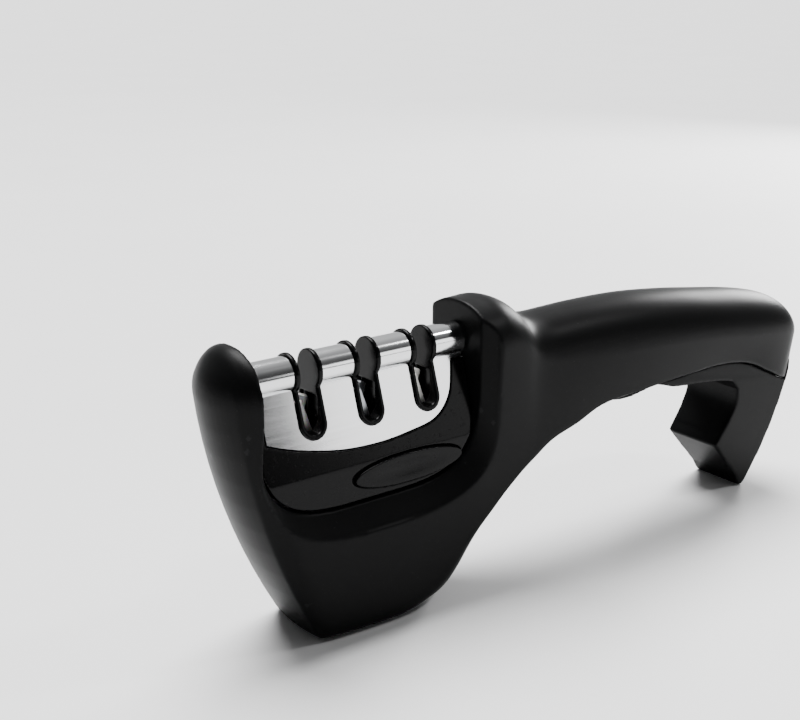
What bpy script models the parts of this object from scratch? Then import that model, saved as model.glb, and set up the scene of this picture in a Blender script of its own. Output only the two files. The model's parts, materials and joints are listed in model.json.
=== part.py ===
"""Three-slot hand-held knife sharpener: a hollow black handle and head, and a lift-out cartridge.

The nose points along -X, the heel along +X and the table is z = 0. Sizes below are in millimetres
and become metres through MM. Every piece hangs on the empty "sharpener_origin", which centres the
object on the world origin.
"""

import math

import bmesh
import bpy
from mathutils import Matrix, Vector

MM = 0.001
FIT_GAP = 0.3                   # clearance between pieces that touch

# Placing: how far the drawing's zero lies in front of the middle of the object.
CENTRE_X = 2.72

# Pocket for the cartridge
POCKET_INNER = dict(middle=-57.8, half=32.4, low=33.4, top=56.0, square=4.0)
POCKET_OUTER = dict(middle=-56.5, half=34.2, low=27.1, top=46.0, square=3.0)
POCKET_INNER_Y = 10.0
POCKET_OUTER_Y = 13.5

# Steel cover: a rolled tube over a flared skirt
TUBE_Z = 66.4
TUBE_RADIUS = 4.4
SHEET = 0.6
SKIRT_TOP = (3.0, 63.0)
SKIRT_FOOT = (9.1, 44.5)
SKIRT_FRONT_X = -86.0
COVER_FRONT_X = -89.4
COVER_REAR_X = -26.2

# Slots, front to rear
SLOT_X = (-73.0, -56.3, -39.3)
SLOT_NAMES = ("coarse", "fine", "finishing")
SLOT_HALF_GAP = 2.5
LINER_WALL = 1.2
LINER_PROUD = 0.7
SLOT_ROUND_Z = 55.0
WINDOW_HALF_Y = 3.5
WINDOW_TOP_Z = 60.6

# Sharpening elements
ELEMENT_TILT = math.radians(20.0)
ELEMENT_CROSS_Z = 54.0
ELEMENT_OFFSET_Y = 1.8
ELEMENT_LOW_Z = 46.5
ELEMENT_HIGH_Z = 59.8

# Cartridge
CARTRIDGE_HALF_Y = 9.6
HOLDER_HALF = (4.6, 5.0)
HOLDER_Z = (37.0, 50.2)
KEEPER_HALF_Y = 5.2
KEEPER_X = (-80.0, -33.0)
KEEPER_TOP_Z = 36.3
KEEPER_SCREW_X = (-64.6, -47.7)

# Squeeze pads
PAD_CENTRE = (-47.7, 39.4)
PAD_HALF = (16.5, 3.9)
PAD_Y = (7.9, 10.4)
PAD_TRAVEL = 1.4
SPRING_RADIUS = 1.3
SPRING_WIRE = 0.25

# Handle insert and its channel
CHANNEL_HALF_Y = 8.8
INSERT_HALF_Y = 10.4
FOOT_TAPER = 0.17
INSERT_SCREW_X = (16.0, 38.0, 60.0)
INSERT_HEAD_Z = 47.0

# Base
BASE_RECESS_TOP_Z = 6.0
BASE_SCREW_X = (-68.5, -40.5)

# Body sections, nose to heel. Each gives the crown (x, z), the bottom (x, z), how far the section
# bows forward, the shoulder (y, z), the lower edge of the flat side (y, z) and how square the
# underside is.
SECTIONS = (
    ((-96.0, 72.2), (-75.0, 0.8), 4.7, (10.5, 64.0), (10.3, 1.8), 6.0),
    ((-93.5, 75.0), (-73.0, 0.8), 4.6, (13.0, 64.0), (11.4, 1.8), 6.0),
    ((-89.5, 76.1), (-69.5, 0.8), 4.2, (15.0, 64.0), (12.0, 1.8), 6.0),
    ((-76.0, 76.2), (-61.0, 0.8), 2.5, (15.6, 63.5), (12.6, 1.8), 6.0),
    ((-58.0, 76.2), (-52.0, 0.8), 1.0, (15.6, 63.5), (13.0, 2.2), 6.0),
    ((-45.0, 76.0), (-43.0, 0.8), 0.0, (15.3, 64.0), (13.0, 7.3), 4.0),
    ((-35.0, 76.1), (-35.0, 1.1), 0.0, (15.0, 64.5), (13.0, 13.4), 2.3),
    ((-28.0, 76.2), (-28.0, 5.2), 0.0, (14.8, 65.0), (13.0, 18.0), 1.25),
    ((-22.5, 76.4), (-22.5, 11.0), 0.0, (14.4, 65.5), (12.9, 22.5), 1.15),
    ((-17.5, 76.5), (-17.5, 18.5), 0.0, (14.0, 65.5), (12.8, 26.8), 1.25),
    ((-12.0, 74.3), (-12.0, 26.0), 0.0, (13.3, 63.0), (12.7, 31.2), 1.7),
    ((-7.0, 70.3), (-7.0, 31.0), 0.0, (12.4, 59.0), (12.6, 34.5), 2.4),
    ((-1.0, 68.9), (-1.0, 35.0), 0.0, (12.2, 57.5), (12.4, 37.8), 3.0),
    ((8.0, 69.0), (8.0, 38.0), 0.0, (12.4, 57.0), (12.2, 40.3), 4.0),
    ((18.0, 69.2), (18.0, 41.9), 0.0, (12.8, 56.5), (12.0, 43.1), 6.0),
    ((35.0, 68.8), (35.0, 42.9), 0.0, (13.4, 56.0), (11.9, 43.9), 6.0),
    ((52.0, 67.2), (52.0, 43.6), 0.0, (13.7, 55.0), (11.9, 44.6), 6.0),
    ((68.0, 65.0), (67.0, 43.9), 0.0, (13.8, 53.5), (12.0, 44.9), 6.0),
    ((82.0, 62.9), (79.5, 42.0), 0.0, (13.6, 51.5), (12.1, 43.0), 6.0),
    ((93.5, 60.4), (90.0, 37.4), 0.0, (13.0, 50.0), (11.9, 38.4), 6.0),
    ((100.2, 57.7), (97.0, 34.0), 0.0, (12.0, 49.0), (11.2, 35.0), 6.0),
    ((103.8, 54.4), (100.8, 32.6), 0.0, (10.2, 47.5), (9.8, 33.6), 6.0),
)
SECTION_STEPS = 2
ARCH_STEPS, SIDE_STEPS, UNDER_STEPS = 7, 3, 5
NOSE_CROWN = (1.1, 3.3)          # how far the nose face bulges at the foot and at the shoulder
HEEL_CROWN = 1.2

# Underside of the handle with its finger bumps, and the foot, front to rear and round to the heel.
INSERT_OUTLINE = (
    (9.0, 38.2), (12.5, 39.8), (16.0, 41.0), (21.5, 41.9), (25.3, 41.3), (30.0, 41.2),
    (35.2, 41.9), (40.0, 42.7), (44.0, 41.7), (48.0, 40.5), (53.5, 39.8), (60.0, 39.2),
    (68.0, 38.2), (74.5, 36.8), (77.2, 34.0), (77.5, 30.0), (75.8, 25.5), (69.6, 16.6),
    (81.3, 3.9), (83.9, 0.0), (85.6, 0.0), (91.4, 8.5), (96.6, 18.8), (100.6, 30.0),
    (102.0, 36.0), (102.0, 52.0), (9.0, 52.0),
)

# Half outline (x, y) of the base, front to rear.
BASE_OUTLINE = (
    (-72.5, 8.2), (-66.0, 9.4), (-58.0, 10.3), (-50.0, 10.4), (-43.0, 8.8), (-37.0, 5.6), (-33.5, 2.2),
)


# ---------------------------------------------------------------- scene helpers

def clear_scene():
    for obj in list(bpy.data.objects):
        bpy.data.objects.remove(obj, do_unlink=True)


def new_collection(name):
    collection = bpy.data.collections.new(name)
    bpy.context.scene.collection.children.link(collection)
    return collection


def material(name, colour, roughness, metallic=0.0):
    made = bpy.data.materials.new(name)
    made.use_nodes = True
    shader = made.node_tree.nodes["Principled BSDF"]
    shader.inputs["Base Color"].default_value = (*colour, 1.0)
    shader.inputs["Roughness"].default_value = roughness
    shader.inputs["Metallic"].default_value = metallic
    return made


def object_from(name, mesh_maker):
    """A new mesh object in the parts collection, filled by mesh_maker(bmesh)."""
    shape = bmesh.new()
    mesh_maker(shape)
    bmesh.ops.remove_doubles(shape, verts=shape.verts, dist=0.002 * MM)
    bmesh.ops.recalc_face_normals(shape, faces=shape.faces)
    mesh = bpy.data.meshes.new(name)
    shape.to_mesh(mesh)
    shape.free()
    obj = bpy.data.objects.new(name, mesh)
    PARTS.objects.link(obj)
    obj.parent = ORIGIN
    return obj


def finish(obj, look, bevel=0.0, segments=2, smooth_deg=35.0):
    """Gives a piece its material, a rounded edge and smooth shading."""
    obj.data.materials.clear()
    obj.data.materials.append(look)
    if bevel:
        round_edges(obj, bevel, segments)
    obj.data.shade_smooth()
    obj.data.set_sharp_from_angle(angle=math.radians(smooth_deg))
    return obj


def round_edges(obj, width, segments=2, angle_deg=40.0):
    edge = obj.modifiers.new("rounded edges", "BEVEL")
    edge.width = width * MM
    edge.segments = segments
    edge.limit_method = "ANGLE"
    edge.angle_limit = math.radians(angle_deg)


def boolean(obj, other, operation):
    step = obj.modifiers.new(operation.lower() + " " + other.name, "BOOLEAN")
    step.operation = operation
    step.object = other
    step.solver = "EXACT"
    if other.name not in CUTTERS.objects:
        PARTS.objects.unlink(other)
        CUTTERS.objects.link(other)
        other.hide_render = True
        other.display_type = "WIRE"
    return obj


def cut(obj, *others):
    for other in others:
        boolean(obj, other, "DIFFERENCE")
    return obj


def keep(obj, other):
    return boolean(obj, other, "INTERSECT")


def join(obj, *others):
    for other in others:
        boolean(obj, other, "UNION")
    return obj


# ---------------------------------------------------------------- shape helpers

def box(name, low, high):
    size = [high[i] - low[i] for i in range(3)]
    middle = [(high[i] + low[i]) / 2 for i in range(3)]

    def make(shape):
        place = Matrix.Translation(Vector(middle) * MM) @ Matrix.Diagonal(Vector(size) * MM).to_4x4()
        bmesh.ops.create_cube(shape, size=1.0, matrix=place)

    return object_from(name, make)


def rod(name, start, end, radius, sides=20, end_radius=None):
    """A cylinder, or a cone, between two points."""
    a, b = Vector(start) * MM, Vector(end) * MM
    turn = (b - a).to_track_quat("Z", "Y").to_matrix().to_4x4()

    def make(shape):
        bmesh.ops.create_cone(
            shape, cap_ends=True, segments=sides, radius1=radius * MM,
            radius2=(radius if end_radius is None else end_radius) * MM, depth=(b - a).length,
            matrix=Matrix.Translation((a + b) / 2) @ turn)

    return object_from(name, make)


def plate(name, outline, low, high, across="Y"):
    """A flat outline pulled out between low and high. Across Y the outline is (x, z), across X it
    is (y, z), across Z it is (x, y)."""
    curve = bpy.data.curves.new(name, "CURVE")
    curve.dimensions = "2D"
    curve.fill_mode = "BOTH"
    curve.extrude = (high - low) / 2 * MM
    line = curve.splines.new("POLY")
    line.points.add(len(outline) - 1)
    for point, (u, v) in zip(line.points, outline):
        point.co = (u * MM, v * MM, 0.0, 1.0)
    line.use_cyclic_u = True
    drawn = bpy.data.objects.new(name, curve)
    PARTS.objects.link(drawn)
    bpy.context.view_layer.update()
    evaluated = drawn.evaluated_get(bpy.context.evaluated_depsgraph_get())
    mesh = bpy.data.meshes.new_from_object(evaluated)
    bpy.data.objects.remove(drawn)
    bpy.data.curves.remove(curve)
    middle = (low + high) / 2 * MM
    place = {
        "Y": Matrix(((1, 0, 0, 0), (0, 0, -1, middle), (0, 1, 0, 0), (0, 0, 0, 1))),
        "X": Matrix(((0, 0, 1, middle), (1, 0, 0, 0), (0, 1, 0, 0), (0, 0, 0, 1))),
        "Z": Matrix.Translation((0, 0, middle)),
    }[across]

    def make(shape):
        shape.from_mesh(mesh)
        bmesh.ops.transform(shape, matrix=place, verts=shape.verts)

    made = object_from(name, make)
    bpy.data.meshes.remove(mesh)
    return made


def loft(name, rings):
    """A skin over rings of equally many points, closed at both ends."""

    def make(shape):
        loops = [[shape.verts.new(Vector(point) * MM) for point in ring] for ring in rings]
        count = len(loops[0])
        for first, second in zip(loops, loops[1:]):
            for i in range(count):
                j = (i + 1) % count
                shape.faces.new((first[i], first[j], second[j], second[i]))
        if not rings_meet(rings[0]):
            shape.faces.new(loops[0])
        if not rings_meet(rings[-1]):
            shape.faces.new(loops[-1])

    return object_from(name, make)


def rings_meet(ring):
    """True where a ring has closed to a line on the plane of symmetry."""
    return all(abs(point[1]) < 1e-6 for point in ring)


def smooth_path(points, steps):
    """Points along a Catmull-Rom curve through tuples of numbers, open at both ends."""
    path = []
    last = len(points) - 1
    for i in range(last):
        before, here, there, after = (points[min(max(k, 0), last)] for k in (i - 1, i, i + 1, i + 2))
        for step in range(steps):
            t = step / steps
            path.append(tuple(
                0.5 * (2 * b + (c - a) * t + (2 * a - 5 * b + 4 * c - d) * t * t
                       + (3 * b - a - 3 * c + d) * t ** 3)
                for a, b, c, d in zip(before, here, there, after)))
    path.append(points[-1])
    return path


def arc(centre, radius, start_deg, end_deg, steps):
    """Points on a circle, both ends included."""
    turns = [math.radians(start_deg + (end_deg - start_deg) * i / steps) for i in range(steps + 1)]
    return [(centre[0] + radius * math.cos(a), centre[1] + radius * math.sin(a)) for a in turns]


def mirrored(half):
    """A closed outline from its half at positive first coordinate, listed bottom to top."""
    return list(half) + [(-u, v) for u, v in reversed(half) if abs(u) > 1e-9]


# ---------------------------------------------------------------- body

def half_ring(section, lower):
    """(y, z) from the crown round to the bottom on the positive side of a body section."""
    crown, bottom, _, shoulder, edge, square = section
    points = []
    for i in range(ARCH_STEPS):
        turn = math.pi / 2 * i / ARCH_STEPS
        rise = (crown[1] - shoulder[1]) * math.cos(turn)
        points.append((shoulder[0] * math.sin(turn), shoulder[1] + rise))
    for i in range(SIDE_STEPS):
        t = i / SIDE_STEPS
        fall = edge[1] - lower - shoulder[1]
        points.append((shoulder[0] + (edge[0] - shoulder[0]) * t, shoulder[1] + fall * t))
    for i in range(UNDER_STEPS + 1):
        turn = math.pi / 2 * i / UNDER_STEPS
        across = math.cos(turn) ** (2 / square)
        down = math.sin(turn) ** (2 / square)
        points.append((edge[0] * across, edge[1] - lower - (edge[1] - bottom[1]) * down))
    points[-1] = (0.0, bottom[1] - lower)
    return points


def body_ring(section, squeeze=1.0, bulge=None, lower=0.0):
    """One closed ring of the body. squeeze narrows it to the plane of symmetry, while bulge moves
    its middle out along X by (amount at the foot, amount at the shoulder)."""
    crown, bottom, bow, shoulder = section[:4]
    ring = []
    for y, z in half_ring(section, lower):
        down = (crown[1] - z) / (crown[1] - bottom[1] + lower)
        x = crown[0] + (bottom[0] - crown[0]) * down - bow * 4 * down * (1 - down)
        if bulge:
            up = min(max(z / shoulder[1], 0.0), 1.0)
            amount = bulge[0] + (bulge[1] - bulge[0]) * up
            x += amount * (1 - squeeze ** 2) * (y / shoulder[0]) ** 2
        ring.append((x, y * squeeze, z))
    return ring + [(x, -y, z) for x, y, z in reversed(ring[1:-1])]


def flat_section(section):
    crown, bottom, bow, shoulder, edge, square = section
    return (*crown, *bottom, bow, *shoulder, *edge, square)


def section_of(flat):
    return (flat[0:2], flat[2:4], flat[4], flat[5:7], flat[7:9], flat[9])


def body_form(name, lower=0.0):
    """The outer form of head and handle, before anything is cut from it. lower drops its underside."""
    keys = smooth_path([flat_section(section) for section in SECTIONS], SECTION_STEPS)
    sections = [section_of(flat) for flat in keys]
    nose = (-NOSE_CROWN[0], -NOSE_CROWN[1])
    heel = (HEEL_CROWN, HEEL_CROWN)
    rings = [body_ring(sections[0], s, nose, lower) for s in (0.0, 0.35, 0.7)]
    rings += [body_ring(section, lower=lower) for section in sections]
    rings += [body_ring(sections[-1], s, heel, lower) for s in (0.6, 0.0)]
    return loft(name, rings)


def pocket_outline(middle, half, low, top, square, grow=0.0, steps=14):
    """U-shaped (x, z) outline of the cartridge pocket, open upwards to well above the head."""
    half, low = half + grow, low - grow
    points = [(middle + half, 95.0)]
    for i in range(steps + 1):
        turn = math.pi * i / steps
        across = math.copysign(abs(math.cos(turn)) ** (2 / square), math.cos(turn))
        points.append((middle + half * across, top - (top - low) * math.sin(turn) ** (2 / 2.6)))
    points.append((middle - half, 95.0))
    return points


def pocket_cutter():
    inner = pocket_outline(**POCKET_INNER)
    outer = pocket_outline(**POCKET_OUTER)
    rings = [[(x, y, z) for x, z in outline] for y, outline in (
        (-25.0, outer), (-POCKET_OUTER_Y, outer), (-POCKET_INNER_Y, inner),
        (POCKET_INNER_Y, inner), (POCKET_OUTER_Y, outer), (25.0, outer))]
    return loft("pocket_cutter", rings)


def base_outline(grow=0.0):
    """Leaf-shaped (x, y) outline of the base recess."""
    half = smooth_path(BASE_OUTLINE, 3)
    half = [(x + (grow if x > -50 else -grow) * abs(x + 55) / 20, y + grow) for x, y in half]
    return half + [(x, -y) for x, y in reversed(half)]


def body_shell(look):
    shell = body_form("body_shell")
    cut(shell, pocket_cutter())
    cut(shell, plate("base_recess", base_outline(0.4), -5.0, BASE_RECESS_TOP_Z, "Z"))
    cut(shell, box("head_hollow", (-63.0, -8.0, 5.0), (-46.0, 8.0, 26.0)))
    channel = ((9.0, 20.0), (9.0, 50.4), (70.0, 50.4), (84.0, 47.6), (91.0, 44.0), (93.0, 20.0))
    cut(shell, plate("handle_channel", channel, -CHANNEL_HALF_Y, CHANNEL_HALF_Y))
    for i, x in enumerate(INSERT_SCREW_X, 1):
        cut(shell, rod(f"insert_screw_hole_{i}", (x, 0, 45.0), (x, 0, 58.5), 1.45, 12))
    for i, x in enumerate(BASE_SCREW_X, 1):
        cut(shell, rod(f"base_screw_hole_{i}", (x, 0, 4.0), (x, 0, 14.5), 1.45, 12))
    return finish(shell, look)


def taper_foot(obj):
    for vertex in obj.data.vertices:
        down = max(0.0, 38.0 - vertex.co.z / MM) / 38.0
        vertex.co.y *= 1 - FOOT_TAPER * down


def handle_insert(look):
    insert = plate("handle_insert", INSERT_OUTLINE, -INSERT_HALF_Y, INSERT_HALF_Y)
    taper_foot(insert)
    round_edges(insert, 1.2, 2, 50.0)
    cut(insert, body_form("shell_over_insert", lower=FIT_GAP))
    cut(insert, box("insert_trim", (-20.0, -20.0, 44.6), (130.0, 20.0, 80.0)))
    raised = [(x, z + 0.2) for x, z in INSERT_OUTLINE]
    tongue = plate("insert_tongue", raised, 0.4 - CHANNEL_HALF_Y, CHANNEL_HALF_Y - 0.4)
    inside = ((9.8, 20.0), (9.8, 49.8), (69.7, 49.8), (83.5, 47.0), (90.0, 43.5), (91.5, 37.0), (91.5, 20.0))
    keep(tongue, plate("tongue_trim", inside, -20.0, 20.0))
    join(insert, tongue)
    for i, x in enumerate(INSERT_SCREW_X, 1):
        cut(insert, rod(f"insert_counterbore_{i}", (x, 0, 30.0), (x, 0, INSERT_HEAD_Z + 0.2), 2.9, 16))
        cut(insert, rod(f"insert_through_hole_{i}", (x, 0, 30.0), (x, 0, 60.0), 1.45, 12))
    return finish(insert, look)


def screw(name, x, head_z, tip_z, look, head_radius=2.4, head_height=1.6):
    """A pan-head screw driven upwards, with a cross recess in its head."""
    head = rod(name, (x, 0, head_z - head_height), (x, 0, head_z), head_radius, 20)
    join(head, rod(name + "_shank", (x, 0, head_z - 0.4), (x, 0, tip_z), 1.2, 12))
    low, deep = head_z - head_height - 1.0, head_z - head_height + 0.8
    cut(head, box(name + "_recess_a", (x - 1.4, -0.3, low), (x + 1.4, 0.3, deep)))
    cut(head, box(name + "_recess_b", (x - 0.3, -1.4, low), (x + 0.3, 1.4, deep)))
    return finish(head, look)


def base_cover(look):
    cover = plate("base_cover", base_outline(), 2.3, BASE_RECESS_TOP_Z - FIT_GAP, "Z")
    for i, x in enumerate(BASE_SCREW_X, 1):
        cut(cover, rod(f"cover_counterbore_{i}", (x, 0, 0.0), (x, 0, 4.3), 2.9, 16))
        cut(cover, rod(f"cover_hole_{i}", (x, 0, 0.0), (x, 0, 9.0), 1.45, 12))
    return finish(cover, look)


def base_pad(look):
    pad = plate("base_pad", base_outline(), 0.0, 2.0, "Z")
    round_edges(pad, 0.4, 1, 50.0)
    return finish(pad, look)


# ---------------------------------------------------------------- cartridge

def cover_line(offset=0.0):
    """Half of the steel cover's section, from the skirt's foot to the tube's crown, as (y, z)
    moved out by offset."""
    foot, top, centre = Vector(SKIRT_FOOT), Vector(SKIRT_TOP), Vector((0.0, TUBE_Z))
    run = (top - foot).normalized()
    out = Vector((run.y, -run.x))
    reach = (foot - centre).dot(out) + offset
    radius = TUBE_RADIUS + offset
    meeting = out * reach - run * math.sqrt(radius ** 2 - reach ** 2)
    tube = arc(centre, radius, math.degrees(math.atan2(meeting.y, meeting.x)), 90.0, 9)
    tube[-1] = (0.0, TUBE_Z + radius)
    return [tuple(foot + out * offset)] + tube


def sheet_section():
    """The bent sheet of the steel cover as one closed outline."""
    outer = mirrored(cover_line())
    inner = mirrored(cover_line(-SHEET))
    return outer + inner[::-1]


def filled_section(offset):
    return mirrored(cover_line(offset))


def cover_outline(grow=0.0):
    """Side outline (x, z) of the steel cover: the skirt's lower edge is one long curve."""
    low_edge = smooth_path(((SKIRT_FRONT_X, 52.6), (-78.4, 50.1), (-67.0, 47.8), (-56.0, 47.2),
                            (-46.5, 47.9), (-38.0, 49.5), (-32.6, 54.2), (-30.2, 61.8)), 3)
    low_edge = [(x, z - grow) for x, z in low_edge]
    return ([(COVER_FRONT_X - grow, 80.0), (COVER_FRONT_X - grow, 62.2 - grow),
             (SKIRT_FRONT_X - grow, 62.2 - grow), (SKIRT_FRONT_X - grow, low_edge[0][1])] + low_edge[1:-1]
            + [(-30.0 + grow, 62.2 - grow), (COVER_REAR_X + grow, 62.2 - grow), (COVER_REAR_X + grow, 80.0)])


def slot_outline(x, half, top=90.0):
    """U outline (x, z) of a slot, round at the bottom."""
    return [(x - half, top)] + arc((x, SLOT_ROUND_Z), half, 180.0, 360.0, 12) + [(x + half, top)]


def slot_cutter(name, x, half):
    return plate(name, slot_outline(x, half), -25.0, 25.0)


def steel_cover(look):
    cover = plate("steel_cover", sheet_section(), COVER_FRONT_X - 5, COVER_REAR_X + 5, "X")
    keep(cover, plate("cover_trim", cover_outline(), -20.0, 20.0))
    for slot_x, slot in zip(SLOT_X, SLOT_NAMES):
        half = SLOT_HALF_GAP + LINER_WALL + 0.2
        cut(cover, slot_cutter("cover_slot_" + slot, slot_x, half))
    return finish(cover, look)


def slot_liner(x, slot, look):
    half = SLOT_HALF_GAP + LINER_WALL
    liner = plate("slot_liner_" + slot, filled_section(LINER_PROUD), x - half, x + half, "X")
    keep(liner, slot_cutter("liner_outside_" + slot, x, half))
    cut(liner, slot_cutter("liner_gap_" + slot, x, SLOT_HALF_GAP))
    cut(liner, box("liner_window_" + slot, (x - 6, -WINDOW_HALF_Y, 40.0),
                   (x + 6, WINDOW_HALF_Y, WINDOW_TOP_Z)))
    return finish(liner, look)


def cartridge_body(look):
    outline = pocket_outline(**POCKET_INNER, grow=-0.4)
    block = plate("cartridge_body", outline, -CARTRIDGE_HALF_Y, CARTRIDGE_HALF_Y)
    flank = [(CARTRIDGE_HALF_Y, 20.0), (CARTRIDGE_HALF_Y, 43.2)] + cover_line(0.35)[1:2]
    top = mirrored(flank)
    keep(block, plate("cartridge_flanks", top, -100.0, -10.0, "X"))
    inside = filled_section(-SHEET - FIT_GAP)
    zone = plate("cover_zone", cover_outline(0.3), -20.0, 20.0)
    cut(zone, plate("cover_core", inside, -100.0, -10.0, "X"))
    cut(block, zone)
    spine = plate("tube_core", spine_outline(), COVER_FRONT_X + 0.3, COVER_REAR_X - 0.3, "X")
    join(block, spine)
    for slot_x, slot in zip(SLOT_X, SLOT_NAMES):
        half = SLOT_HALF_GAP + LINER_WALL + FIT_GAP
        cut(block, slot_cutter("body_slot_" + slot, slot_x, half))
        cut(block, box("holder_pocket_" + slot,
                       (slot_x - HOLDER_HALF[0] - 0.3, -HOLDER_HALF[1] - 0.3, 20.0),
                       (slot_x + HOLDER_HALF[0] + 0.3, HOLDER_HALF[1] + 0.3, 51.5)))
        cut(block, box("element_clearance_" + slot, (slot_x - 4.9, -WINDOW_HALF_Y, 45.0),
                       (slot_x + 4.9, WINDOW_HALF_Y, WINDOW_TOP_Z)))
    cut(block, box("keeper_recess", (KEEPER_X[0] - 0.3, -KEEPER_HALF_Y - 0.3, 20.0),
                   (KEEPER_X[1] + 0.3, KEEPER_HALF_Y + 0.3, KEEPER_TOP_Z + 0.3)))
    for i, x in enumerate(KEEPER_SCREW_X, 1):
        cut(block, rod(f"keeper_screw_bore_{i}", (x, 0, 30.0), (x, 0, 47.0), 1.45, 12))
    for side, name in ((-1, "near"), (1, "far")):
        cut(block, pad_form("pad_recess_" + name, side, (PAD_Y[0] - PAD_TRAVEL - 0.3, 14.0), 0.3))
        x, z = PAD_CENTRE
        cut(block, rod("spring_bore_" + name, (x, side * 2.6, z), (x, side * 9.0, z), 1.9, 16))
    return finish(block, look)


def spine_outline():
    """Rib (y, z) that stands up inside the skirt and fills the tube."""
    radius = TUBE_RADIUS - SHEET - FIT_GAP
    bead = arc((0.0, TUBE_Z), radius, -60.0, 90.0, 8)
    bead[-1] = (0.0, TUBE_Z + radius)
    return mirrored([(1.6, 56.0), (1.6, 63.6)] + bead)


def element_holder(x, slot, look):
    holder = box("element_holder_" + slot, (x - HOLDER_HALF[0], -HOLDER_HALF[1], HOLDER_Z[0]),
                 (x + HOLDER_HALF[0], HOLDER_HALF[1], HOLDER_Z[1]))
    round_edges(holder, 0.4, 1)
    return holder


def element_ends(x, side):
    """Lower and upper end of an element's centre line. The near one leans to the nose."""
    lean = side * math.tan(ELEMENT_TILT)
    return [(x + lean * (z - ELEMENT_CROSS_Z), side * ELEMENT_OFFSET_Y, z)
            for z in (ELEMENT_LOW_Z, ELEMENT_HIGH_Z)]


def element_rod(name, x, side, radius, look, holder):
    low, high = element_ends(x, side)
    made = rod(name, low, high, radius, 20)
    cut(holder, rod(name + "_seat", lengthened(low, high), high, radius + 0.25, 16))
    return finish(made, look, bevel=0.25, segments=1)


def lengthened(low, high):
    """low moved 0.4 mm further away from high."""
    a, b = Vector(low), Vector(high)
    return tuple(a + (a - b).normalized() * 0.4)


def element_blade(name, x, side, look, holder):
    low, high = element_ends(x, side)
    centre = (Vector(low) + Vector(high)) / 2
    length = (Vector(high) - Vector(low)).length

    def bar(bar_name, size, drop):
        place = (Matrix.Translation((centre - Vector((0, 0, drop))) * MM)
                 @ Matrix.Rotation(side * ELEMENT_TILT, 4, "Y") @ Matrix.Diagonal(Vector(size) * MM).to_4x4())
        return object_from(bar_name, lambda shape: bmesh.ops.create_cube(shape, size=1.0, matrix=place))

    blade = bar(name, (1.8, 3.0, length), 0.0)
    cut(holder, bar(name + "_seat", (2.3, 3.5, length), 0.4))
    return finish(blade, look, bevel=0.2, segments=1)


def keeper_plate(look):
    outline = pocket_outline(**POCKET_INNER, grow=-0.4)
    keeper = plate("keeper_plate", outline, -KEEPER_HALF_Y, KEEPER_HALF_Y)
    keep(keeper, box("keeper_trim", (KEEPER_X[0], -20.0, 20.0), (KEEPER_X[1], 20.0, KEEPER_TOP_Z)))
    for i, x in enumerate(KEEPER_SCREW_X, 1):
        cut(keeper, rod(f"keeper_counterbore_{i}", (x, 0, 30.0), (x, 0, 35.4), 2.6, 16))
        cut(keeper, rod(f"keeper_hole_{i}", (x, 0, 30.0), (x, 0, 47.0), 1.45, 12))
    return finish(keeper, look)


def pad_form(name, side, reach, grow=0.0):
    """Oval pad between two distances from the middle plane."""
    x, z = PAD_CENTRE
    outline = []
    for i in range(28):
        turn = 2 * math.pi * i / 28
        outline.append((x + (PAD_HALF[0] + grow) * math.cos(turn), z + (PAD_HALF[1] + grow) * math.sin(turn)))
    low, high = sorted((side * reach[0], side * reach[1]))
    return plate(name, outline, low, high)


def release_pad(side, name, look):
    pad = pad_form("release_pad_" + name, side, PAD_Y)
    round_edges(pad, 0.7, 2, 50.0)
    return finish(pad, look)


def pad_spring(side, name, look):
    """A small compression spring behind a pad, as a round wire on a helix at its pressed length."""
    x, z = PAD_CENTRE
    turns, per_turn = 4, 12
    near = 2.6 + FIT_GAP + SPRING_WIRE
    far = PAD_Y[0] - PAD_TRAVEL - FIT_GAP - SPRING_WIRE
    curve = bpy.data.curves.new("pad_spring_" + name, "CURVE")
    curve.dimensions = "3D"
    curve.bevel_depth = SPRING_WIRE * MM
    curve.bevel_resolution = 2
    curve.use_fill_caps = True
    line = curve.splines.new("POLY")
    line.points.add(turns * per_turn)
    for i, point in enumerate(line.points):
        turn = 2 * math.pi * i / per_turn
        y = near + (far - near) * i / (turns * per_turn)
        point.co = ((x + SPRING_RADIUS * math.cos(turn)) * MM, side * y * MM,
                    (z + SPRING_RADIUS * math.sin(turn)) * MM, 1.0)
    curve.materials.append(look)
    spring = bpy.data.objects.new("pad_spring_" + name, curve)
    PARTS.objects.link(spring)
    spring.parent = ORIGIN
    return spring


def cartridge(black, gloss, steel, grey, zinc, diamond, carbide, ceramic):
    cartridge_body(gloss)
    steel_cover(steel)
    keeper_plate(black)
    for i, x in enumerate(KEEPER_SCREW_X, 1):
        screw(f"keeper_screw_{i}", x, 35.2, 46.4, zinc, 2.3, 1.2)
    for x, slot in zip(SLOT_X, SLOT_NAMES):
        slot_liner(x, slot, gloss)
    holders = [element_holder(x, slot, grey) for x, slot in zip(SLOT_X, SLOT_NAMES)]
    for side, name in ((-1, "near"), (1, "far")):
        element_rod("diamond_rod_" + name, SLOT_X[0], side, 1.25, diamond, holders[0])
        element_blade("carbide_blade_" + name, SLOT_X[1], side, carbide, holders[1])
        element_rod("ceramic_rod_" + name, SLOT_X[2], side, 1.4, ceramic, holders[2])
        release_pad(side, name, gloss)
        pad_spring(side, name, zinc)
    for holder in holders:
        finish(holder, grey)


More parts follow.
